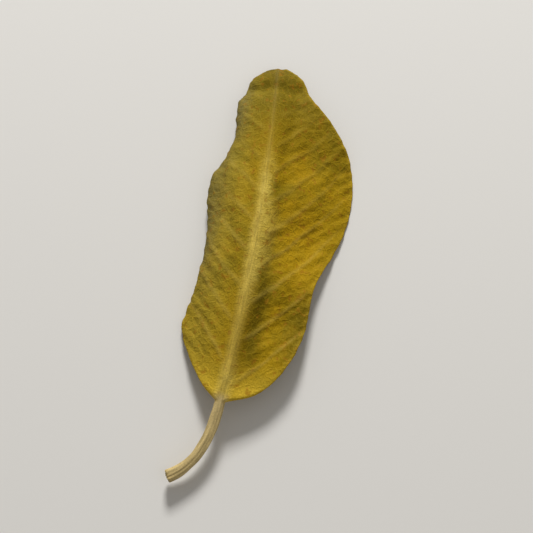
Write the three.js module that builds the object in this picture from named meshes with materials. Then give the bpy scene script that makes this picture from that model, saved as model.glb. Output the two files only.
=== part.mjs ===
// A dried leaflet of the drumstick tree (Moringa oleifera), lying on a table with its underside up.
// Millimetres, +Z up. +Y runs from the cut end of the little stalk to the tip of the blade.
//
// It grew as one piece, so it is one closed solid: a capped cylinder whose rings are laid along
// the midrib. On the stalk a ring is round. Along the blade it is drawn out flat, folded at the
// midrib like a tent, and rolled under along the left margin, as the drying left it.
import * as THREE from 'three';

// Driving dimensions.
const BLADE_LENGTH = 17;
const STALK_LENGTH = 4.2;
const STALK_RADIUS = 0.24;
const STALK_END_SWELL = 1.2; // the joint that the leaflet broke off at is thicker than the stalk
const BLADE_HALF_THICKNESS = 0.11;
const MIDRIB_HEIGHT = 0.16; // how far the midrib stands proud of the blade near its base
const MIDRIB_HEIGHT_AT_TIP = 0.04;
const MIDRIB_SHOWS_BELOW = 1 / 3; // how much of that height the other face has
const MIDRIB_HALF_WIDTH = 0.32;
const FOLD_HALF_WIDTH = 0.45; // the halves turn down over this width, with no sharp crease

// How the rings are spaced.
const STALK_RINGS = 14;
const BLADE_RINGS = 58;
const RINGS_BUNCHED = 0.55; // 0 spaces the blade's rings evenly, 1 crowds them to its ends
const POINTS_ROUND = 44;
const STEPS_ACROSS = 24;

// Outline: half widths of the blade measured along its surface, as [share of length, mm].
const RIGHT_HALF = [
  [0, STALK_RADIUS], [0.035, 1.45], [0.1, 2.4], [0.2, 3.1], [0.36, 3.35],
  [0.52, 4.4], [0.64, 4.6], [0.74, 4.2], [0.83, 3.1], [0.89, 2.0], [0.95, 1.4], [1, 0.6],
];
const LEFT_HALF = [
  [0, STALK_RADIUS], [0.035, 1.1], [0.1, 2.15], [0.18, 3.05], [0.38, 3.1],
  [0.6, 3.45], [0.77, 2.8], [0.88, 2.3], [0.94, 1.8], [1, 0.9],
];
const TIP_NOTCH = 0.35; // the blunt tip is a little hollow between its two lobes

// Folds, in degrees below level across the blade, as [share of length, degrees].
const RIGHT_SLOPE_AT_RIB = [[0, 20], [0.12, 46], [0.3, 44], [0.55, 36], [0.8, 34], [1, 20]];
const RIGHT_SLOPE_AT_EDGE = [[0, 0], [0.12, -30], [0.25, -10], [0.42, 12], [0.7, 14], [0.85, 6], [1, 10]];
const LEFT_SLOPE_AT_RIB = [[0, 20], [0.12, 28], [0.38, 27], [0.58, 26], [0.76, 30], [1, 25]];
const LEFT_SLOPE_AT_ROLL = [[0, 20], [0.12, 28], [0.38, 32], [0.58, 33], [0.76, 37], [1, 30]];
const LEFT_ROLL_START = [
  [0, 0.9], [0.16, 0.9], [0.28, 0.76], [0.42, 0.7], [0.58, 0.75], [0.76, 0.64], [0.88, 0.8], [1, 0.8],
];
const LEFT_ROLL_TURN = [
  [0, 10], [0.15, 40], [0.27, 95], [0.42, 120], [0.58, 100], [0.76, 120], [0.88, 80], [1, 40],
];

// The midrib: heading to the right of +Y, and climb above level, both in degrees.
const BLADE_HEADING = [[0, 5], [0.5, 0], [1, -5]];
const BLADE_CLIMB = [[0, 11], [0.2, 9], [0.4, 4], [0.6, 0], [0.8, -6], [0.92, -20], [1, -45]];
const STALK_HEADING_AT_END = 62;
const STALK_BENDS_LATE = 1.7; // 1 is an even bend, and more puts the bend nearer the broken end
const STALK_CLIMB_AT_END = 5;

// How the leaflet lies, in degrees: turned about the midrib and nose down, until three points of its
// margins touch the table.
const ROLL = 1.3;
const PITCH = -0.78;

const radians = THREE.MathUtils.degToRad;

/** A smooth curve through [place, value] points, level outside them. */
function through(points, place) {
  const last = points.length - 1;
  if (place <= points[0][0]) return points[0][1];
  if (place >= points[last][0]) return points[last][1];
  let i = 0;
  while (place > points[i + 1][0]) i += 1;
  const slope = (k) => {
    const [from, to] = [points[Math.max(k - 1, 0)], points[Math.min(k + 1, last)]];
    return (to[1] - from[1]) / (to[0] - from[0]);
  };
  const [[x0, y0], [x1, y1]] = [points[i], points[i + 1]];
  const gap = x1 - x0;
  const t = (place - x0) / gap;
  const [t2, t3] = [t * t, t * t * t];
  return y0 * (2 * t3 - 3 * t2 + 1) + slope(i) * gap * (t3 - 2 * t2 + t)
    + y1 * (3 * t2 - 2 * t3) + slope(i + 1) * gap * (t3 - t2);
}

/** Where each ring sits: distances along the midrib, below 0 on the stalk, closer at the blade's ends. */
function ringPlaces() {
  const places = [];
  for (let i = 0; i < STALK_RINGS; i += 1) places.push(-STALK_LENGTH * (1 - i / STALK_RINGS));
  for (let i = 0; i <= BLADE_RINGS; i += 1) {
    const even = i / BLADE_RINGS;
    const bunched = (1 - Math.cos(Math.PI * even)) / 2;
    places.push(BLADE_LENGTH * THREE.MathUtils.lerp(even, bunched, RINGS_BUNCHED));
  }
  return places;
}

/** Heading and climb of the midrib at a distance along it. */
function direction(along) {
  if (along >= 0) {
    const share = along / BLADE_LENGTH;
    return [radians(through(BLADE_HEADING, share)), radians(through(BLADE_CLIMB, share))];
  }
  const share = -along / STALK_LENGTH;
  const heading = THREE.MathUtils.lerp(BLADE_HEADING[0][1], STALK_HEADING_AT_END, share ** STALK_BENDS_LATE);
  const climb = THREE.MathUtils.lerp(BLADE_CLIMB[0][1], STALK_CLIMB_AT_END, share);
  return [radians(heading), radians(climb)];
}

/** The midrib as one frame a ring: its centre, and unit vectors along, to the right and up. */
function midribFrames(places) {
  const frames = [];
  const centre = new THREE.Vector3();
  places.forEach((along, i) => {
    const [heading, climb] = direction(along);
    const ahead = new THREE.Vector3(
      Math.sin(heading) * Math.cos(climb), Math.cos(heading) * Math.cos(climb), Math.sin(climb),
    );
    const right = new THREE.Vector3(Math.cos(heading), -Math.sin(heading), 0);
    const up = new THREE.Vector3().crossVectors(right, ahead);
    if (i > 0) {
      const step = along - places[i - 1];
      const mean = ahead.clone().add(frames[i - 1].ahead).normalize();
      centre.addScaledVector(mean, step);
    }
    frames.push({ along, ahead, right, up, centre: centre.clone() });
  });
  return frames;
}

/** Slope of the blade, in radians below level, at a share of the way from the midrib to one margin. */
function slopeAcross(side, share, out, halfWidth) {
  const rounding = THREE.MathUtils.smoothstep(out * halfWidth, 0, FOLD_HALF_WIDTH);
  if (side > 0) {
    const [atRib, atEdge] = [through(RIGHT_SLOPE_AT_RIB, share), through(RIGHT_SLOPE_AT_EDGE, share)];
    return rounding * radians(THREE.MathUtils.lerp(atRib, atEdge, out));
  }
  const start = through(LEFT_ROLL_START, share);
  const [atRib, atRoll] = [through(LEFT_SLOPE_AT_RIB, share), through(LEFT_SLOPE_AT_ROLL, share)];
  const flat = THREE.MathUtils.lerp(atRib, atRoll, Math.min(out / start, 1));
  const rolled = Math.max(0, (out - start) / (1 - start));
  return rounding * radians(flat + through(LEFT_ROLL_TURN, share) * rolled);
}

/** How far right and down the blade has gone, and its slope, at a share of the way out to one margin. */
function acrossBlade(side, share, out, halfWidth) {
  const step = out / STEPS_ACROSS;
  let [sideways, down] = [0, 0];
  for (let i = 0; i < STEPS_ACROSS; i += 1) {
    const slope = slopeAcross(side, share, (i + 0.5) * step, halfWidth);
    sideways += Math.cos(slope) * step * halfWidth;
    down += Math.sin(slope) * step * halfWidth;
  }
  return [side * sideways, down, slopeAcross(side, share, out, halfWidth)];
}

/** One point of the leaflet: round the ring at an angle, from the midrib (reach 0) to the skin (reach 1). */
function skinPoint(frame, angle, reach) {
  const { along, ahead, right, up, centre } = frame;
  const across = Math.cos(angle) * reach;
  const above = Math.sin(angle) * reach;
  const side = across >= 0 ? 1 : -1;
  const out = Math.abs(across);
  if (along <= 0) {
    const nearEnd = THREE.MathUtils.smoothstep(-along / STALK_LENGTH, 0.75, 1);
    const radius = STALK_RADIUS * THREE.MathUtils.lerp(1, STALK_END_SWELL, nearEnd);
    return centre.clone().addScaledVector(right, across * radius).addScaledVector(up, above * radius);
  }
  const share = along / BLADE_LENGTH;
  const halfWidth = through(side > 0 ? RIGHT_HALF : LEFT_HALF, share);
  const [sideways, down, slope] = acrossBlade(side, share, out, halfWidth);
  const fromRib = (out * halfWidth) / MIDRIB_HALF_WIDTH;
  const sinking = THREE.MathUtils.smoothstep(share, 0.1, 1);
  const ribHeight = THREE.MathUtils.lerp(MIDRIB_HEIGHT, MIDRIB_HEIGHT_AT_TIP, sinking);
  const rib = ribHeight * Math.exp(-fromRib * fromRib) * (above > 0 ? 1 : MIDRIB_SHOWS_BELOW);
  const stalkShare = 1 - THREE.MathUtils.smoothstep(share, 0, 0.05);
  const halfThickness = THREE.MathUtils.lerp(BLADE_HALF_THICKNESS + rib, STALK_RADIUS, stalkShare);
  const notch = TIP_NOTCH * THREE.MathUtils.smoothstep(share, 0.8, 1) * out * out;
  return centre.clone()
    .addScaledVector(ahead, notch)
    .addScaledVector(right, sideways + side * Math.sin(slope) * above * halfThickness)
    .addScaledVector(up, -down + Math.cos(slope) * above * halfThickness);
}

/** The whole leaflet as one closed mesh. */
function leafGeometry() {
  const places = ringPlaces();
  const frames = midribFrames(places);
  const geometry = new THREE.CylinderGeometry(1, 1, 1, POINTS_ROUND, places.length - 1);
  const points = geometry.getAttribute('position');
  for (let i = 0; i < points.count; i += 1) {
    const [x, y, z] = [points.getX(i), points.getY(i), points.getZ(i)];
    const ring = Math.round((y + 0.5) * (places.length - 1));
    const point = skinPoint(frames[ring], Math.atan2(z, x), Math.min(1, Math.hypot(x, z)));
    points.setXYZ(i, point.x, point.y, point.z);
  }
  return geometry;
}

const leaf = new THREE.Mesh(
  leafGeometry(),
  new THREE.MeshStandardMaterial({ color: 0x97791a, roughness: 0.72, metalness: 0 }),
);
leaf.name = 'leaf';
leaf.geometry.rotateY(radians(ROLL)).rotateX(radians(PITCH));

// The middle of the footprint is the origin, and the lowest point touches the table.
leaf.geometry.computeBoundingBox();
const { min, max } = leaf.geometry.boundingBox;
leaf.geometry.translate(-(min.x + max.x) / 2, -(min.y + max.y) / 2, -min.z);
leaf.geometry.computeVertexNormals();

const moringaLeaf = new THREE.Group();
moringaLeaf.add(leaf);
export default moringaLeaf;
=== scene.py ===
# %% [markdown]
# # A dried moringa leaflet
#
# A moringa leaf is made of dozens of small blades on thin stalks. Dried and stripped, each one is
# a leaflet about as long as a thumbnail is wide: ochre where it has yellowed, olive where it has
# kept some green. This one lies on a table with its underside up. Its two halves slope down from
# the midrib like a tent, the left margin has rolled under, and the stalk bends away to the left.
#
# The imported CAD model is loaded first. It says where the leaflet lies and how large it is, and
# the finished mesh takes its place.

import math

import bmesh
import bpy
from mathutils import Matrix, Vector, noise


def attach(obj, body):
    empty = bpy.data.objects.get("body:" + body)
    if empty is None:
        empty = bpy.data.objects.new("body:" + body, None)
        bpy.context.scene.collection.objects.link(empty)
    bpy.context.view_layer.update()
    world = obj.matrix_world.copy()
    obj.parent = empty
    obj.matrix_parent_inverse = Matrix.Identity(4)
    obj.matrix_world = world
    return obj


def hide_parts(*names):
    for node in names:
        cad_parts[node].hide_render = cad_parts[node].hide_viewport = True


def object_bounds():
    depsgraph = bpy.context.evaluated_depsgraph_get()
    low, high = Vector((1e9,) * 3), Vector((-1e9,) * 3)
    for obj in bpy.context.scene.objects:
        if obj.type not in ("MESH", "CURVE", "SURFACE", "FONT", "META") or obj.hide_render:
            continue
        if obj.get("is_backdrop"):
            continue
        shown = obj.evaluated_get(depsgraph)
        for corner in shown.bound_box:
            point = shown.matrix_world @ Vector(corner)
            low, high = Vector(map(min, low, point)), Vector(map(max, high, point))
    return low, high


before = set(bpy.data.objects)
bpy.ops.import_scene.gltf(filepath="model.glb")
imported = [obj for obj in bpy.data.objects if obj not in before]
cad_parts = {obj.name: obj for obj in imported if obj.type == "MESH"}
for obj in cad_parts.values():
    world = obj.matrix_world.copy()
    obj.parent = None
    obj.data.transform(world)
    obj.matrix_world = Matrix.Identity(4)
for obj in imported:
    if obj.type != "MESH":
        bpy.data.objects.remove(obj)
cad_low, cad_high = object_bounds()
print("frame size in mm:", [round(side * 1000, 2) for side in cad_high - cad_low])

# %% [markdown]
# ## Sizes and outline
#
# A leaf could be drawn as a flat picture and cut out, but this one is never flat. So its outline is
# held as two curves, one for each half: how far the margin is from the midrib, measured along the
# blade's own surface, at each share of its length. The folds are held the same way, as slopes.
# Bending the blade then never stretches it. Everything is in millimetres until the last step.

# %% Driving dimensions, in millimetres
MM = 0.001
BLADE_LENGTH = 17.0
STALK_LENGTH = 4.2
STALK_RADIUS = 0.24
STALK_END_SWELL = 1.2  # the broken end is this many times as thick as the rest of the stalk
BLADE_HALF_THICKNESS = 0.095
MIDRIB_HEIGHT = 0.17  # how far the midrib stands proud of the blade near its base
MIDRIB_HALF_WIDTH = 0.22
RIBS_SHOW_BELOW = 0.3  # how much of the ribs' height the other face has
FOLD_HALF_WIDTH = 0.45  # the halves turn down over this width, with no sharp crease
TIP_NOTCH = 0.35  # the blunt tip is a little hollow between its two lobes
print("blade and stalk in mm:", BLADE_LENGTH, STALK_LENGTH)

# %% The outline: (share of the length, mm from the midrib to the margin)
RIGHT_HALF = [
    (0, STALK_RADIUS), (0.035, 1.45), (0.1, 2.4), (0.2, 3.1), (0.36, 3.35), (0.52, 4.4),
    (0.64, 4.6), (0.74, 4.2), (0.83, 3.1), (0.89, 2.0), (0.95, 1.4), (1, 0.6),
]
LEFT_HALF = [
    (0, STALK_RADIUS), (0.035, 1.1), (0.1, 2.15), (0.18, 3.05), (0.38, 3.1),
    (0.6, 3.45), (0.77, 2.8), (0.88, 2.3), (0.94, 1.8), (1, 0.9),
]
print("points of the outline:", len(RIGHT_HALF), "right,", len(LEFT_HALF), "left")

# %% The folds: (share of the length, degrees below level)
RIGHT_SLOPE_AT_RIB = [(0, 20), (0.12, 46), (0.3, 44), (0.55, 36), (0.8, 34), (1, 20)]
RIGHT_SLOPE_AT_EDGE = [(0, 0), (0.12, -30), (0.25, -10), (0.42, 12), (0.7, 14), (0.85, 6), (1, 10)]
LEFT_SLOPE_AT_RIB = [(0, 20), (0.12, 28), (0.38, 27), (0.58, 26), (0.76, 30), (1, 25)]
LEFT_SLOPE_AT_ROLL = [(0, 20), (0.12, 28), (0.38, 32), (0.58, 33), (0.76, 37), (1, 30)]

# Where the left margin's roll starts, as a share of the way out, and how many degrees it turns.
LEFT_ROLL_START = [
    (0, 0.9), (0.16, 0.9), (0.28, 0.76), (0.42, 0.7), (0.58, 0.75), (0.76, 0.64), (0.88, 0.8), (1, 0.8),
]
LEFT_ROLL_TURN = [
    (0, 10), (0.15, 40), (0.27, 95), (0.42, 120), (0.58, 100), (0.76, 120), (0.88, 80), (1, 40),
]
print("the left margin rolls by up to", max(turn for _, turn in LEFT_ROLL_TURN), "degrees")


# %% Helpers for curves
def mix(a, b, share):
    """The value a share of the way from a to b."""
    return a + (b - a) * share


def smoothstep(value, low, high):
    """0 up to low, 1 from high, and a soft step between them."""
    share = min(max((value - low) / (high - low), 0.0), 1.0)
    return share * share * (3 - 2 * share)


def through(points, place):
    """A smooth curve through (place, value) points, level outside them."""
    last = len(points) - 1
    if place <= points[0][0]:
        return points[0][1]
    if place >= points[last][0]:
        return points[last][1]
    i = next(k for k in range(last) if place <= points[k + 1][0])

    def slope(k):
        (x0, y0), (x1, y1) = points[max(k - 1, 0)], points[min(k + 1, last)]
        return (y1 - y0) / (x1 - x0)

    (x0, y0), (x1, y1) = points[i], points[i + 1]
    gap = x1 - x0
    t = (place - x0) / gap
    rise = 3 * t**2 - 2 * t**3
    leaving = slope(i) * gap * (t**3 - 2 * t**2 + t)
    arriving = slope(i + 1) * gap * (t**3 - t**2)
    return mix(y0, y1, rise) + leaving + arriving


print("widest right half:", round(max(through(RIGHT_HALF, k / 100) for k in range(101)), 2))

# %% [markdown]
# ## The midrib as a path
#
# The mesh is a loft: one ring of points is pushed along the midrib, and each new ring is shaped as
# that place's cross-section. The path is walked in small steps from the broken end of the stalk to
# the tip. Every step keeps a frame of its own, with a direction ahead, one to the right and one up.

# %% Where the rings sit
STALK_RINGS = 44
BLADE_RINGS = 296
RINGS_BUNCHED = 0.3  # 0 spaces the blade's rings evenly, 1 crowds them to its ends
TIP_EDGE = 0.09  # the last of the length, where the tip's edge is rounded off


def ring_places():
    """Distances along the midrib, below 0 on the stalk, closer together at both ends of the blade."""
    places = [-STALK_LENGTH * (1 - i / STALK_RINGS) for i in range(STALK_RINGS)]
    for i in range(BLADE_RINGS + 1):
        even = i / BLADE_RINGS
        bunched = (1 - math.cos(math.pi * even)) / 2
        places.append((BLADE_LENGTH - TIP_EDGE) * mix(even, bunched, RINGS_BUNCHED))
    return places


places = ring_places()
print("rings:", len(places), "closest blade rings in mm:", round(places[-1] - places[-2], 4))

# %% Walk along the midrib
# Heading to the right of +Y and climb above level, in degrees, at each share of the blade's length.
BLADE_HEADING = [(0, 5), (0.5, 0), (1, -5)]
BLADE_CLIMB = [(0, 11), (0.2, 9), (0.4, 4), (0.6, 0), (0.8, -6), (0.92, -20), (1, -45)]
STALK_HEADING_AT_END = 62
STALK_BENDS_LATE = 1.7  # 1 is an even bend, and more puts the bend nearer the broken end
STALK_CLIMB_AT_END = 5


def direction(along):
    """Heading and climb of the midrib, in radians, at a distance along it."""
    if along >= 0:
        share = along / BLADE_LENGTH
        heading, climb = through(BLADE_HEADING, share), through(BLADE_CLIMB, share)
    else:
        share = -along / STALK_LENGTH
        heading = mix(BLADE_HEADING[0][1], STALK_HEADING_AT_END, share**STALK_BENDS_LATE)
        climb = mix(BLADE_CLIMB[0][1], STALK_CLIMB_AT_END, share)
    return math.radians(heading), math.radians(climb)


def walk(places):
    """(distance, centre, ahead, right, up) for every ring."""
    steps = []
    centre = Vector()
    for along in places:
        heading, climb = direction(along)
        right = Vector((math.cos(heading), -math.sin(heading), 0))
        level = Vector((math.sin(heading), math.cos(heading), 0))
        ahead = level * math.cos(climb) + Vector((0, 0, math.sin(climb)))
        if steps:
            centre = centre + (ahead + steps[-1][2]).normalized() * (along - steps[-1][0])
        steps.append((along, centre, ahead, right, right.cross(ahead)))
    return steps


path = walk(places)
print("from the broken end to the tip in mm:", [round(c, 2) for c in path[-1][1]])

# %% [markdown]
# ## Veins and shrinkage
#
# On the underside the midrib and the side veins stand proud, and they stay while the soft tissue
# between them shrinks and puckers. Both could be painted on as bumps, but the light falls across
# this blade at a low angle, so they are modelled: veins as ridges that thicken the blade, and
# puckers as a bend of the whole sheet, the same on both faces.

# %% Side veins
VEIN_COUNT = 8
VEIN_FIRST, VEIN_LAST = 0.7, 13.6
VEINS_CLOSE_UP = 0.9  # 1 spaces them evenly, and less puts them closer together near the tip
LEFT_VEINS_SHIFT = 0.45  # the halves alternate by this share of the gap
VEIN_LEAN, VEIN_CURVE = 0.72, 0.1
VEIN_WANDER, WANDER_SCALES = 0.22, (0.55, 0.8)  # in mm, and lumps in a mm along and across
VEIN_HALF_WIDTH, VEIN_END_WIDTH = 0.13, 0.45  # in mm, and the share of it that is left at the margin
VEIN_HEIGHT = 0.032
VEIN_FADES_FROM = 0.82


def vein_starts(side):
    """Where the side veins leave the midrib, in mm along it."""
    shift = 0.0 if side > 0 else LEFT_VEINS_SHIFT
    shares = [((k + shift) / VEIN_COUNT) ** VEINS_CLOSE_UP for k in range(VEIN_COUNT + 1)]
    return [mix(VEIN_FIRST, VEIN_LAST, share) for share in shares]


STARTS = {1: vein_starts(1), -1: vein_starts(-1)}


def side_vein(along, out, reach, side):
    """How much of a side vein is here, 0 to 1: out in mm from the midrib, reach its share of the half."""
    place = Vector((along * WANDER_SCALES[0], out * WANDER_SCALES[1], side * 3.1))
    wander = VEIN_WANDER * noise.noise(place)
    source = along - VEIN_LEAN * out - VEIN_CURVE * out * out + wander
    lean = VEIN_LEAN + 2 * VEIN_CURVE * out
    away = min(abs(source - start) for start in STARTS[side]) / math.hypot(1, lean)
    half_width = VEIN_HALF_WIDTH * mix(1.0, VEIN_END_WIDTH, reach)
    return math.exp(-((away / half_width) ** 2)) * (1 - smoothstep(reach, VEIN_FADES_FROM, 1.0))


print("veins on the right leave at mm:", [round(start, 1) for start in STARTS[1]])

# %% Puckers of the drying tissue, and the crease where the tip turns down
# Each depth is in mm. Each scale is lumps in a mm, and a pair of them is across and along.
BROAD_DEPTH, BROAD_SCALE = 0.20, 0.42
PLEAT_DEPTH, PLEAT_SCALES = {1: 0.08, -1: 0.15}, (1.5, 0.45)
RIPPLE_DEPTH, RIPPLE_SCALES = 0.055, (0.9, 2.6)
CRINKLE_DEPTH, CRINKLE_SCALE = 0.030, 2.7
CALM_BY_THE_RIB = (0.15, 1.1)  # the puckers grow between these distances from the midrib
TIP_CREASE_AT, TIP_CREASE_LEAN = 15.5, 0.12
TIP_CREASE_WIDTH, TIP_CREASE_DEPTH = 0.38, 0.17


def pucker(along, out, reach, side):
    """How far the sheet bends out of its smooth shape, in mm."""
    place = Vector((out * side, along, 0))
    broad = BROAD_DEPTH * noise.noise(place * BROAD_SCALE + Vector((3, 7, 1)))
    pleat_place = Vector((out * side * PLEAT_SCALES[0], along * PLEAT_SCALES[1], 5.0))
    pleats = PLEAT_DEPTH[side] * noise.noise(pleat_place)
    with_veins = along - VEIN_LEAN * out
    ripple_place = Vector((out * RIPPLE_SCALES[0], with_veins * RIPPLE_SCALES[1], side * 9.0))
    ripple = RIPPLE_DEPTH * noise.noise(ripple_place)
    crinkle = CRINKLE_DEPTH * noise.fractal(place * CRINKLE_SCALE, 0.65, 2.1, 4)
    from_crease = (along - TIP_CREASE_AT - TIP_CREASE_LEAN * out) / TIP_CREASE_WIDTH
    crease = TIP_CREASE_DEPTH * math.exp(-(from_crease**2))
    grown = smoothstep(out, *CALM_BY_THE_RIB)
    return grown * (broad + pleats + (ripple + crinkle) * mix(0.6, 1.0, reach)) - crease


print("pucker in the middle of the right half in mm:", round(pucker(8, 2, 0.5, 1), 3))

# %% Small waves of the margin: how often in a millimetre, and how deep as a share of the half's width
SLOW_WAVE, SLOW_DEPTH = 0.6, 0.012
QUICK_WAVE, QUICK_DEPTH = 2.3, 0.010


def margin_wave(along, side):
    """What the half's width is multiplied by."""
    slow = noise.noise(Vector((along * SLOW_WAVE, side * 4.0, 2.0)))
    quick = noise.noise(Vector((along * QUICK_WAVE, side * 4.0, 6.0)))
    return 1 + SLOW_DEPTH * slow + QUICK_DEPTH * quick


print("the right margin at mid length is multiplied by", round(margin_wave(8.5, 1), 4))

# %% [markdown]
# ## One cross-section
#
# Across each half the blade is walked outwards from the midrib, turning by the slope that the fold
# gives at that place. On the left the slope keeps turning past the roll's start, so the margin
# curls under. A ring's points then sit above and below this line by half the thickness.

# %% The line across one half
STEPS_ACROSS = 60
TIP_ROUNDS_FROM, TIP_ROUNDING = 0.955, 0.6  # both as shares: of the length, and of the squared width


def slope_across(side, share, reach, half_width):
    """Slope of the blade, in radians below level, at a share of the way out."""
    rounding = smoothstep(reach * half_width, 0, FOLD_HALF_WIDTH)
    if side > 0:
        at_rib, at_edge = through(RIGHT_SLOPE_AT_RIB, share), through(RIGHT_SLOPE_AT_EDGE, share)
        return rounding * math.radians(mix(at_rib, at_edge, reach))
    start = through(LEFT_ROLL_START, share)
    at_rib, at_roll = through(LEFT_SLOPE_AT_RIB, share), through(LEFT_SLOPE_AT_ROLL, share)
    flat = mix(at_rib, at_roll, min(reach / start, 1))
    rolled = max(0.0, (reach - start) / (1 - start))
    return rounding * math.radians(flat + through(LEFT_ROLL_TURN, share) * rolled)


def half_line(side, share):
    """The half's width, and (sideways, down, slope) at even steps from the midrib to the margin."""
    half_width = through(RIGHT_HALF if side > 0 else LEFT_HALF, share)
    half_width *= margin_wave(share * BLADE_LENGTH, side)
    past = max(0.0, (share - TIP_ROUNDS_FROM) / (1 - TIP_ROUNDS_FROM))
    half_width *= math.sqrt(1 - TIP_ROUNDING * past * past)
    sideways = down = 0.0
    line = [(0.0, 0.0, 0.0)]
    step = half_width / STEPS_ACROSS
    for i in range(STEPS_ACROSS):
        slope = slope_across(side, share, (i + 0.5) / STEPS_ACROSS, half_width)
        sideways += math.cos(slope) * step
        down += math.sin(slope) * step
        slope_there = slope_across(side, share, (i + 1) / STEPS_ACROSS, half_width)
        line.append((side * sideways, down, slope_there))
    return half_width, line


def on_line(line, reach):
    """The line's values at a share of the way out."""
    place = min(reach, 1.0) * STEPS_ACROSS
    i = min(int(place), STEPS_ACROSS - 1)
    return [mix(a, b, place - i) for a, b in zip(line[i], line[i + 1])]


print("right half at mid length, mm along the surface:", round(half_line(1, 0.5)[0], 2))

# %% Where the points are round a ring
POINTS_ROUND = 272
POINTS_SPREAD = 0.5  # 0 crowds the points to the margins, 1 spaces them evenly across


def ring_angles():
    """(across, face) of each point: across from 1 at the right margin to -1 at the left, face 1 on top."""
    around = []
    for k in range(POINTS_ROUND):
        turn = 2 * k / POINTS_ROUND
        on_top = turn <= 1
        half_turn = turn if on_top else 2 - turn
        across = mix(math.cos(math.pi * half_turn), 1 - 2 * half_turn, POINTS_SPREAD)
        around.append((across, 1 if on_top else -1))
    return around


AROUND = ring_angles()
print("points round a ring:", len(AROUND))

# %% One point of the stalk
STALK_RIDGES = [(0.07, 5, 0.5), (0.03, 11, -1.0)]  # height as a share of the radius, count, twist in a mm
STALK_LUMPS, STALK_LUMP_SCALE = 0.09, 1.6
END_SWELLS_FROM = 0.72  # the share of the stalk, from the blade, where its broken end starts to swell
STALK_SMOOTH_END = 0.9  # the ridges die out over this length before the blade


def stalk_point(step, across, face, reach_out=1.0):
    """A point of the stalk, which dried into soft lengthwise ridges."""
    along, centre, ahead, right, up = step
    angle = math.atan2(face * math.sqrt(max(0.0, 1 - across * across)), across)
    near_end = smoothstep(-along / STALK_LENGTH, END_SWELLS_FROM, 1)
    radius = STALK_RADIUS * mix(1, STALK_END_SWELL, near_end)
    relief = sum(height * math.sin(count * angle + twist * along) for height, count, twist in STALK_RIDGES)
    lump_place = Vector((math.cos(angle), math.sin(angle), along * STALK_LUMP_SCALE))
    relief += STALK_LUMPS * noise.noise(lump_place)
    radius *= 1 + relief * smoothstep(-along, 0.0, STALK_SMOOTH_END)
    return centre + (right * math.cos(angle) + up * math.sin(angle)) * radius * reach_out


print("thickest stalk in mm:", round(2 * STALK_RADIUS * STALK_END_SWELL, 2))

# %% The ribs, and how thick they make the blade
STALK_FLATTENS_BY = 0.06  # by this share of the length the round stalk is a flat blade
RIB_WIDTH_AT_TIP, RIB_HEIGHT_AT_TIP = 0.5, 0.3  # shares of what they are at the base
VEIN_HEIGHT_AT_MARGIN = 0.35  # a share of what it is at the midrib


def ribs_fading(share):
    """1 at the base of the blade, 0 at its tip."""
    return 1 - smoothstep(share, 0.05, 1)


def ribs_at(along, out, reach, side):
    """How much of the midrib and of a side vein is here, 0 to 1 each."""
    share = along / BLADE_LENGTH
    rib_width = MIDRIB_HALF_WIDTH * mix(RIB_WIDTH_AT_TIP, 1, ribs_fading(share))
    rib = math.exp(-((out / rib_width) ** 2))
    away_from_rib, away_from_base = smoothstep(out, 0.1, 0.5), smoothstep(share, 0.01, 0.07)
    return rib, side_vein(along, out, reach, side) * away_from_rib * away_from_base


def half_thickness(share, reach, rib, vein, face):
    """Half the blade's thickness in mm, with its ribs."""
    proud = MIDRIB_HEIGHT * mix(RIB_HEIGHT_AT_TIP, 1, ribs_fading(share)) * rib
    proud += VEIN_HEIGHT * mix(1, VEIN_HEIGHT_AT_MARGIN, reach) * vein
    thickness = BLADE_HALF_THICKNESS + proud * (1 if face > 0 else RIBS_SHOW_BELOW)
    return mix(STALK_RADIUS, thickness, smoothstep(share, 0, STALK_FLATTENS_BY))


print("thickest at the base's midrib in mm:", round(2 * half_thickness(0.08, 0, 1, 0, 1), 2))

# %% One point of the blade
SINK_BETWEEN_VEINS = 0.5 * VEIN_HEIGHT
ROUND_EDGE, FLAT_EDGE = 2, 14  # the power that shapes a cross-section: an ellipse, or flat with round edges
RIM_WIDTH = 0.28
SMOOTH_BASE = (0.02, 0.14)  # the puckers grow between these shares of the length
NOTCH_FROM = 0.8


def blade_point(step, halves, across, face, edge_left=1.0):
    """The point's place, its place on the flattened blade, and the facts that the finish reads."""
    along, centre, ahead, right, up = step
    share = along / BLADE_LENGTH
    side = 1 if across >= 0 else -1
    reach = abs(across)
    half_width, line = halves[side]
    sideways, down, slope = on_line(line, reach)
    out = reach * half_width
    rib, vein = ribs_at(along, out, reach, side)
    power = mix(ROUND_EDGE, FLAT_EDGE, smoothstep(share, 0, STALK_FLATTENS_BY))
    above = face * math.sqrt(max(0.0, 1 - reach**power)) * edge_left
    bend = pucker(along, out, reach, side) * smoothstep(share, *SMOOTH_BASE)
    bend -= SINK_BETWEEN_VEINS * (1 - vein) * smoothstep(out, 0.2, 0.8) * (1 - reach)
    lift = above * half_thickness(share, reach, rib, vein, face) + bend
    notch = TIP_NOTCH * smoothstep(share, NOTCH_FROM, 1) * reach * reach
    place = centre + ahead * notch
    place += right * (sideways + side * math.sin(slope) * lift)
    place += up * (-down + math.cos(slope) * lift)
    rim = smoothstep(out, half_width - RIM_WIDTH, half_width - 0.02)
    return place, (across * half_width, along), {"rib": rib, "vein": vein, "rim": rim, "length": share}


print("edges are shaped by powers", ROUND_EDGE, "to", FLAT_EDGE)

# %% [markdown]
# ## Lofting the mesh
#
# The loft starts as a small closed disc, the broken end of the stalk. Extruding its rim again and
# again makes the rings. At the tip the two faces of the blade come together, and merging the
# doubles there seals it, so the whole leaflet is one closed skin like the real one.

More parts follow.
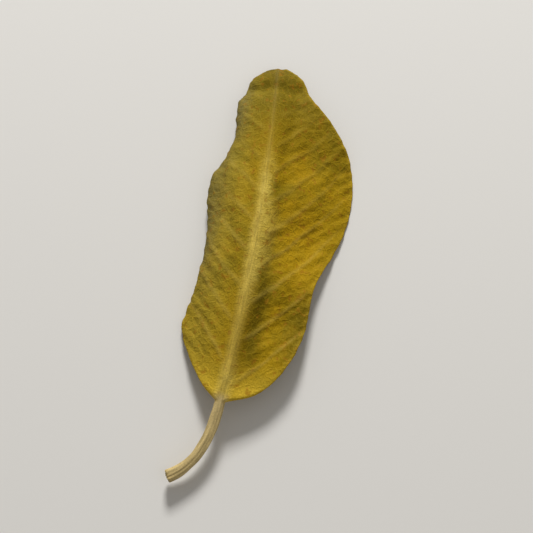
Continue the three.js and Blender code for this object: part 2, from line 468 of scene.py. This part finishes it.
# %% Layers that hold what the finish reads
leaf_mesh = bmesh.new()
FACT_NAMES = ("rib", "vein", "rim", "stalk", "length")
fact_layers = {name: leaf_mesh.verts.layers.float.new(name) for name in FACT_NAMES}
flat_layer = leaf_mesh.verts.layers.float_vector.new("flat")


def mark(vert, flat, face, facts):
    """Stores the place on the flattened blade, in mm, and the facts on a vertex."""
    vert[flat_layer] = Vector((flat[0], flat[1], face))
    for name in FACT_NAMES:
        vert[fact_layers[name]] = facts.get(name, 0.0)


print("layers:", leaf_mesh.verts.layers.float.keys(), leaf_mesh.verts.layers.float_vector.keys())

# %% The broken end of the stalk
END_RINGS = 7
END_DOME = 0.04
TORN_DEPTH, TORN_SCALES = 0.05, (9, 5)
stalk_end = path[0]
made = bmesh.ops.create_circle(
    leaf_mesh, cap_ends=True, cap_tris=True, segments=POINTS_ROUND, radius=STALK_RADIUS / END_RINGS
)
hub = [v for v in made["verts"] if len(v.link_edges) > 3]
ring = sorted((v for v in made["verts"] if v not in hub), key=lambda v: math.atan2(v.co.y, v.co.x))
for vert in hub:
    vert.co = stalk_end[1] - stalk_end[2] * END_DOME
    mark(vert, (0, stalk_end[0]), 1, {"stalk": 1.0})


def torn(across, face, reach_out):
    """How far the broken fibres stand out of the end, in mm."""
    place = Vector((across * TORN_SCALES[0] * reach_out, face * TORN_SCALES[1] * reach_out, 1.7))
    fibre = noise.noise(place)
    return TORN_DEPTH * (fibre + 1 - reach_out)


print("the end starts with", len(ring), "points round", len(hub), "hub")

# %% Rings, one extruded from the next
STALK_COLOUR_FADE = 0.5  # the stalk's colour dies out over this length of the midrib
STALK_COLOUR_WIDTH = MIDRIB_HALF_WIDTH * 1.1


def place_ring(ring, row, edge_left=1.0):
    """Moves a ring's points to a step of the path. Less than 1 edge_left thins the blade to its edge."""
    along = path[row][0]
    halves = {side: half_line(side, along / BLADE_LENGTH) for side in (1, -1)} if along >= 0 else None
    for vert, (across, face) in zip(ring, AROUND):
        if along < 0:
            vert.co = stalk_point(path[row], across, face)
            mark(vert, (across * STALK_RADIUS, along), face, {"stalk": 1.0})
            continue
        vert.co, flat, facts = blade_point(path[row], halves, across, face, edge_left)
        by_width = math.exp(-((flat[0] / STALK_COLOUR_WIDTH) ** 2))
        facts["stalk"] = (1 - smoothstep(along, 0.0, STALK_COLOUR_FADE)) * by_width
        mark(vert, flat, face, facts)


def next_ring(ring, edges):
    """Extrudes the open rim: the new vertices, in the old ring's order, and the new edges."""
    geom = bmesh.ops.extrude_edge_only(leaf_mesh, edges=edges)["geom"]
    new_edges = [g for g in geom if isinstance(g, bmesh.types.BMEdge) and g.is_boundary]
    new = {v for e in new_edges for v in e.verts}
    new_ring = [next(e.other_vert(v) for e in v.link_edges if e.other_vert(v) in new) for v in ring]
    return new_ring, new_edges


edges = [e for e in leaf_mesh.edges if e.is_boundary]
print("open edges to extrude:", len(edges))

# %% Extrude from the broken end to the tip
for i in range(END_RINGS):
    reach_out = (i + 1) / END_RINGS
    if i:
        ring, edges = next_ring(ring, edges)
    for vert, (across, face) in zip(ring, AROUND):
        end = stalk_point(stalk_end, across, face, reach_out)
        vert.co = end - stalk_end[2] * torn(across, face, reach_out)
        mark(vert, (across * STALK_RADIUS, stalk_end[0]), face, {"stalk": 1.0})
for row in range(1, len(path)):
    ring, edges = next_ring(ring, edges)
    place_ring(ring, row)
print("after the blade:", len(leaf_mesh.verts), "vertices")

# %% Close the tip
TIP_RINGS = 6
tip = path[-1]
for i in range(1, TIP_RINGS + 1):
    t = math.sin(math.pi / 2 * i / TIP_RINGS)
    along = mix(BLADE_LENGTH - TIP_EDGE, BLADE_LENGTH, t)
    path.append((along, tip[1] + tip[2] * (TIP_EDGE * t), *tip[2:]))
    ring, edges = next_ring(ring, edges)
    place_ring(ring, len(path) - 1, math.sqrt(max(0.0, 1 - t * t)))
bmesh.ops.remove_doubles(leaf_mesh, verts=ring, dist=1e-5)
open_edges = sum(not e.is_manifold for e in leaf_mesh.edges)
print("triangles:", sum(len(f.verts) - 2 for f in leaf_mesh.faces), "open edges:", open_edges)

# %% [markdown]
# ## Laying it down
#
# A curled leaflet rests on a few points of its margins. It could be dropped in a simulation, but
# the CAD model was turned by two small angles to bring three such points level, so the mesh is
# turned by the same two. Then it is scaled to metres and set down on its lowest point.

# %% Turn, scale and place
ROLL, PITCH = 1.3, -0.78  # in degrees: about the midrib, and nose down
for angle, axis in ((ROLL, "Y"), (PITCH, "X")):
    turn = Matrix.Rotation(math.radians(angle), 3, axis)
    bmesh.ops.rotate(leaf_mesh, cent=(0, 0, 0), matrix=turn, verts=leaf_mesh.verts)
bmesh.ops.scale(leaf_mesh, vec=(MM, MM, MM), verts=leaf_mesh.verts)
low = Vector([min(v.co[k] for v in leaf_mesh.verts) for k in range(3)])
high = Vector([max(v.co[k] for v in leaf_mesh.verts) for k in range(3)])
shift = (cad_low + cad_high) / 2 - (low + high) / 2
shift.z = cad_low.z - low.z
bmesh.ops.translate(leaf_mesh, vec=shift, verts=leaf_mesh.verts)
bmesh.ops.recalc_face_normals(leaf_mesh, faces=leaf_mesh.faces)
print("leaf size in mm:", [round(side * 1000, 2) for side in high - low])

# %% Make the object
mesh = bpy.data.meshes.new("dried_leaflet")
leaf_mesh.to_mesh(mesh)
leaf_mesh.free()
mesh.shade_smooth()
leaflet = bpy.data.objects.new("dried_leaflet", mesh)
bpy.context.scene.collection.objects.link(leaflet)
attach(leaflet, "root")
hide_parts("leaf")

# %% [markdown]
# ## The finish
#
# Dry leaf tissue is matte and never one colour. Patches of ochre and olive run into each other,
# orange-brown specks sit on top, and the finest veins make a pale net. A picture of a leaf could be
# wrapped on, but it would blur up close and stretch over the folds. So all of it is drawn from noise
# and cell patterns on the leaflet's own flattened coordinates, in millimetres.


# %% Node helpers
def add(tree, kind, inputs=None, **settings):
    """Adds a node. An input's value is a number, a colour or another node's output."""
    made = tree.nodes.new(kind)
    for name, value in settings.items():
        setattr(made, name, value)
    for socket, value in (inputs or {}).items():
        if isinstance(value, bpy.types.NodeSocket):
            tree.links.new(value, made.inputs[socket])
        else:
            made.inputs[socket].default_value = value
    return made


def blend(tree, share, below, above):
    """A colour: below, and above over it by a share."""
    return add(tree, "ShaderNodeMix", {0: share, 6: below, 7: above}, data_type="RGBA").outputs[2]


def maths(tree, operation, *values, clamp=False):
    """One step of arithmetic on numbers or other nodes' outputs."""
    inputs = dict(enumerate(values))
    return add(tree, "ShaderNodeMath", inputs, operation=operation, use_clamp=clamp).outputs[0]


def times(tree, a, b):
    """Two values multiplied."""
    return maths(tree, "MULTIPLY", a, b)


def band(tree, value, low, high, to_low=0.0, to_high=1.0):
    """A value stretched so that low and high come out as to_low and to_high."""
    inputs = {"Value": value, "From Min": low, "From Max": high, "To Min": to_low, "To Max": to_high}
    return add(tree, "ShaderNodeMapRange", inputs, interpolation_type="SMOOTHSTEP").outputs["Result"]


def cloud(tree, place, scale, detail=3.0, roughness=0.5, distortion=0.0):
    """Soft noise, 0 to 1, with scale lumps in a millimetre."""
    inputs = {"Vector": place, "Scale": scale, "Detail": detail}
    inputs.update({"Roughness": roughness, "Distortion": distortion})
    return add(tree, "ShaderNodeTexNoise", inputs).outputs["Fac"]


print("node helpers: add, blend, maths, times, band, cloud")

# %% The material's own coordinates and facts
leaf_look = bpy.data.materials.new("dried_leaf_tissue")
leaf_look.use_nodes = True
tree = leaf_look.node_tree
tree.nodes.clear()
flat = add(tree, "ShaderNodeAttribute", attribute_name="flat").outputs["Vector"]
across = add(tree, "ShaderNodeSeparateXYZ", {"Vector": flat}).outputs["X"]
facts = {name: add(tree, "ShaderNodeAttribute", attribute_name=name).outputs["Fac"] for name in FACT_NAMES}
print("facts read by the finish:", list(facts))

# %% Patches of ochre and olive
OLIVE = (0.235, 0.162, 0.004, 1)
OCHRE = (0.355, 0.218, 0.003, 1)
AMBER = (0.430, 0.245, 0.003, 1)
patches = cloud(tree, flat, scale=0.38, detail=4.0, roughness=0.6, distortion=0.6)
colour = blend(tree, band(tree, patches, 0.32, 0.56), OLIVE, OCHRE)
warm = cloud(tree, flat, scale=0.9, roughness=0.55, distortion=0.4)
colour = blend(tree, band(tree, warm, 0.5, 0.75, 0.0, 0.6), colour, AMBER)
print("nodes so far:", len(tree.nodes))

# %% [markdown]
# ## Where the colour changes over the blade
#
# Some colour has a place and not a pattern. Painted shade darkens the hollow beside the midrib,
# which is darkest, the lower right margin where it turns away, and the crease where the tip turns
# down. The crest of the fold and the base are palest, the crest partly with a painted highlight. The
# left half is paler and greyer than the right, and its rolled margin darker, partly with painted
# shade. The tip is duller and greener, partly with painted shade, and a gold patch on the right half
# is partly painted light. How much of the rest is shade and not tissue one view can't tell apart.
# Each could be painted by hand, but a few soft patches in the flattened coordinates say the same in
# numbers that are easy to move: across, in mm from the midrib, and length, from 0 at the base to 1
# at the tip.

# %% One soft patch
PATCH_FADE = 0.3  # the share of a patch's length that each of its ends fades over


def patch(tree, middle, width, place_low, place_high):
    """A mask: strongest at middle across the blade, and along it from place_low to place_high."""
    off = maths(tree, "ABSOLUTE", maths(tree, "SUBTRACT", across, middle))
    fade = (place_high - place_low) * PATCH_FADE
    starts = band(tree, facts["length"], place_low, place_low + fade)
    ends = band(tree, facts["length"], place_high - fade, place_high, 1.0, 0.0)
    return times(tree, band(tree, off, 0.0, width, 1.0, 0.0), times(tree, starts, ends))


# %% Tints that have a place: tissue colours, painted shade and painted light
# The dark olive serves for flecks and for painted shade, the grey and tip olives partly for painted shade,
# and the gold and the crest straw partly for painted light.
SHADE_AND_FLECK_OLIVE = (0.135, 0.094, 0.002, 1)
TIP_OLIVE_AND_SHADE = (0.150, 0.108, 0.004, 1)
GREY_OLIVE_AND_SHADE = (0.165, 0.135, 0.038, 1)
PALE_OCHRE = (0.340, 0.255, 0.028, 1)
CREST_STRAW_AND_HIGHLIGHT = (0.700, 0.520, 0.090, 1)
GOLD_AND_PAINTED_LIGHT = (0.460, 0.268, 0.004, 1)
BASE_YELLOW = (0.580, 0.385, 0.028, 1)

# Each: middle and reach across in mm, where it starts and ends along, how strong, and its colour.
PATCHES = [
    (-2.2, 2.5, -1.0, 2.0, 0.60, PALE_OCHRE),
    # Greyer and darker towards the rolled left margin: partly greyer tissue, partly painted shade where the
    # margin rolls under.
    (-3.2, 2.1, 0.20, 1.0, 0.90, GREY_OLIVE_AND_SHADE),
    (-2.1, 1.3, 0.70, 1.1, 0.95, GREY_OLIVE_AND_SHADE),
    (-2.9, 1.0, 0.34, 0.56, 0.55, GREY_OLIVE_AND_SHADE),
    # A brighter gold patch on the right half: partly golden tissue, partly painted light on the best-lit
    # part of that half.
    (2.3, 1.6, 0.28, 0.62, 0.60, GOLD_AND_PAINTED_LIGHT),
    # Painted shade along the lower right margin, where it turns away from the light.
    (3.3, 1.6, 0.06, 0.38, 0.85, SHADE_AND_FLECK_OLIVE),
    # Painted shade in the crease where the tip turns down.
    (-0.1, 1.6, 0.89, 1.03, 0.85, SHADE_AND_FLECK_OLIVE),
    # Painted shade in the hollow beside the midrib, low on the right half.
    (0.78, 0.85, 0.04, 0.44, 0.85, SHADE_AND_FLECK_OLIVE),
    # The crest of the fold paler: partly its own pale tissue, partly a painted highlight.
    (0.50, 0.75, 0.34, 0.58, 0.42, CREST_STRAW_AND_HIGHLIGHT),
]
# Darker and greener towards the tip: partly its duller tissue, partly painted shade where the tip turns
# down.
colour = blend(tree, band(tree, facts["length"], 0.62, 0.92, 0.0, 0.85), colour, TIP_OLIVE_AND_SHADE)
for middle, width, place_low, place_high, strength, tint in PATCHES:
    share = times(tree, patch(tree, middle, width, place_low, place_high), strength)
    colour = blend(tree, share, colour, tint)
colour = blend(tree, band(tree, facts["length"], 0.02, 0.14, 0.8, 0.0), colour, BASE_YELLOW)
print("patches:", len(PATCHES))

# %% The pale crest of the fold, partly pale tissue and partly a painted highlight, broken up unevenly
crest_and_highlight = maths(tree, "MAXIMUM", patch(tree, 0.08, 0.55, 0.2, 0.74), patch(tree, 0.05, 0.5, -0.1, 0.13))
crest_breakup = cloud(tree, flat, scale=2.2, detail=4.0, roughness=0.65, distortion=0.5)
crest_and_highlight = times(tree, crest_and_highlight, band(tree, crest_breakup, 0.36, 0.62, 0.35, 1.0))
colour = blend(tree, crest_and_highlight, colour, CREST_STRAW_AND_HIGHLIGHT)
print("nodes so far:", len(tree.nodes))

# %% Specks
SPECK = (0.300, 0.125, 0.006, 1)
specks = cloud(tree, flat, scale=3.1, detail=2.0, roughness=0.6, distortion=0.3)
colour = blend(tree, band(tree, specks, 0.56, 0.70, 0.0, 0.6), colour, SPECK)
dark_flecks = cloud(tree, flat, scale=7.5, detail=2.0)
colour = blend(tree, band(tree, dark_flecks, 0.66, 0.74, 0.0, 0.55), colour, SHADE_AND_FLECK_OLIVE)
print("nodes so far:", len(tree.nodes))

# %% The net of finest veins, which stops at the ribs
NET = (0.480, 0.330, 0.018, 1)
NET_STRENGTH = 0.13
VEIN_TO_MIDRIB = 0.42  # how strongly a side vein counts beside the midrib
ribs = maths(tree, "MAXIMUM", facts["rib"], times(tree, facts["vein"], VEIN_TO_MIDRIB))
soft = maths(tree, "SUBTRACT", 1.0, maths(tree, "MAXIMUM", ribs, facts["stalk"]), clamp=True)
wavy = add(tree, "ShaderNodeTexNoise", {"Vector": flat, "Scale": 2.0, "Detail": 2.0})
shifted = add(tree, "ShaderNodeMix", {0: 0.2, 4: flat, 5: wavy.outputs["Color"]}, data_type="VECTOR")
net_inputs = {"Vector": shifted.outputs[1], "Scale": 3.4, "Randomness": 1.0}
net_cells = add(tree, "ShaderNodeTexVoronoi", net_inputs, feature="DISTANCE_TO_EDGE")
net = times(tree, band(tree, net_cells.outputs["Distance"], 0.0, 0.16, 1.0, 0.0), soft)
colour = blend(tree, times(tree, net, NET_STRENGTH), colour, NET)
print("nodes so far:", len(tree.nodes))

# %% Midrib, side veins, margin and stalk
STRAW = (0.600, 0.430, 0.080, 1)
STALK = (0.560, 0.425, 0.185, 1)
RIM_STRENGTH = 0.3
straw_fades = maths(tree, "MULTIPLY_ADD", patch(tree, 0.0, 9.0, -0.6, 0.85), 0.5, 0.12)
colour = blend(tree, times(tree, ribs, straw_fades), colour, STRAW)
# The margins paler and yellower: partly their own paler tissue, partly a painted highlight along the edges.
colour = blend(tree, times(tree, facts["rim"], RIM_STRENGTH), colour, BASE_YELLOW)
colour = blend(tree, facts["stalk"], colour, STALK)
print("nodes so far:", len(tree.nodes))

# %% Grain over everything, and lengthwise fibres in the midrib and the stalk
FIBRES_DRAWN_OUT = (13.0, 0.9, 1.0)  # many lumps across and few along
grain = cloud(tree, flat, scale=14.0, roughness=0.65)
drawn_out = add(tree, "ShaderNodeMapping", {"Vector": flat, "Scale": FIBRES_DRAWN_OUT})
fibres = cloud(tree, drawn_out.outputs[0], scale=1.0, roughness=0.6)
woody = maths(tree, "MAXIMUM", facts["rib"], facts["stalk"])
darker = maths(tree, "SUBTRACT", band(tree, fibres, 0.35, 0.65, 0.78, 1.14), 1.0)
streaks = maths(tree, "MULTIPLY_ADD", woody, darker, 1.0)
shade = times(tree, band(tree, grain, 0.3, 0.7, 0.84, 1.1), streaks)
shaded = add(tree, "ShaderNodeVectorMath", {0: colour, 1: shade}, operation="MULTIPLY")
print("nodes so far:", len(tree.nodes))

# %% [markdown]
# ## Relief and gloss
#
# The net of fine veins stands about a hundredth of a millimetre proud, the tissue between is
# wrinkled, and the midrib and the stalk are fibrous. Modelled, that would need millions of faces, so
# it goes in as a bump over the modelled relief. The surface has hardly any gloss.

# %% The fine bump
NET_BUMP, GRAIN_BUMP, FIBRE_BUMP, WRINKLE_BUMP = 0.3, 0.6, 0.8, 1.1
wrinkles = times(tree, cloud(tree, flat, scale=4.0, roughness=0.6, distortion=0.8), soft)
height = maths(tree, "MULTIPLY_ADD", net, NET_BUMP, times(tree, grain, GRAIN_BUMP))
height = maths(tree, "MULTIPLY_ADD", times(tree, fibres, woody), FIBRE_BUMP, height)
height = maths(tree, "MULTIPLY_ADD", wrinkles, WRINKLE_BUMP, height)
bump = add(tree, "ShaderNodeBump", {"Height": height, "Strength": 0.7, "Distance": 0.05 * MM})
print("bump distance in m:", bump.inputs["Distance"].default_value)

# %% The surface, a little smoother on the ribs
surface = add(tree, "ShaderNodeBsdfPrincipled", {"Base Color": shaded.outputs[0], "Normal": bump.outputs[0]})
RIBS_SMOOTHER = -0.12
rough = band(tree, grain, 0.3, 0.7, 0.78, 0.58)
tree.links.new(maths(tree, "MULTIPLY_ADD", ribs, RIBS_SMOOTHER, rough), surface.inputs["Roughness"])
surface.inputs["Specular IOR Level"].default_value = 0.07
add(tree, "ShaderNodeOutputMaterial", {"Surface": surface.outputs[0]})
mesh.materials.append(leaf_look)
print("nodes in the finish:", len(tree.nodes))

# %% [markdown]
# ## The table, the lights and the camera
#
# A leaflet this small is best lit like a jewel, on plain pale card with a small soft lamp close by.
# The lamp stands low beyond the tip, so its light skims along the blade and shows the ribs and
# puckers, where light from above would flatten them. A weak wide lamp on the right and a pale
# surround fill the shade.

# %% The table
CARD = (0.74, 0.72, 0.68, 1)
bpy.ops.mesh.primitive_plane_add(size=2)
table = bpy.context.object
table.name = "table"
table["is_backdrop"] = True
card = bpy.data.materials.new("pale_card")
card.use_nodes = True
card_surface = card.node_tree.nodes["Principled BSDF"]
card_surface.inputs["Base Color"].default_value = CARD
card_surface.inputs["Roughness"].default_value = 0.85
table.data.materials.append(card)
print("table:", table.name, [round(side, 1) for side in table.dimensions])


# %% Lamps
def lamp(name, azimuth, elevation, distance, size, power):
    """A square soft lamp aimed at the leaflet: azimuth clockwise from +Y, in degrees, seen from above."""
    made = bpy.data.objects.new(name, bpy.data.lights.new(name, "AREA"))
    made.data.size = size
    made.data.energy = power
    turn, rise = math.radians(azimuth), math.radians(elevation)
    away = Vector((math.sin(turn) * math.cos(rise), math.cos(turn) * math.cos(rise), math.sin(rise)))
    made.location = away * distance
    made.rotation_euler = away.to_track_quat("Z", "Y").to_euler()
    bpy.context.scene.collection.objects.link(made)
    return made


key = lamp("key_lamp", azimuth=-8, elevation=34, distance=0.22, size=0.05, power=0.50)
fill = lamp("fill_lamp", azimuth=120, elevation=50, distance=0.25, size=0.16, power=0.03)
print("lamp powers in W:", round(key.data.energy, 2), round(fill.data.energy, 2))

# %% The pale surround
SURROUND, SURROUND_STRENGTH = (1.0, 0.98, 0.95, 1), 0.28
world = bpy.data.worlds.new("studio")
bpy.context.scene.world = world
world.use_nodes = True
background = world.node_tree.nodes["Background"]
background.inputs["Color"].default_value = SURROUND
background.inputs["Strength"].default_value = SURROUND_STRENGTH
bpy.context.scene.view_settings.view_transform = "Standard"
print("world:", world.name)

# %% The camera, high over the leaflet on its stalk's side
VIEW_AZIMUTH, VIEW_ELEVATION = 9, 72
VIEW_HEIGHT = 24.5 * MM
turn, rise = math.radians(VIEW_AZIMUTH), math.radians(VIEW_ELEVATION)
back = Vector((math.sin(turn) * math.cos(rise), -math.cos(turn) * math.cos(rise), math.sin(rise)))
camera = bpy.data.objects.new("camera", bpy.data.cameras.new("camera"))
camera.data.lens = 85
camera_distance = VIEW_HEIGHT / 2 / math.tan(camera.data.angle / 2)
camera.location = (cad_low + cad_high) / 2 + back * camera_distance
camera.rotation_euler = back.to_track_quat("Z", "Y").to_euler()
camera.data.clip_start, camera.data.clip_end = camera_distance * 0.05, camera_distance * 50
bpy.context.scene.collection.objects.link(camera)
bpy.context.scene.camera = camera
print("camera distance in mm:", round(camera_distance * 1000, 1))

# %% Sizes, and the end
low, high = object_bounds()
print("beyond the frame in mm:", [round(k * 1000, 3) for k in (*(cad_low - low), *(high - cad_high))])
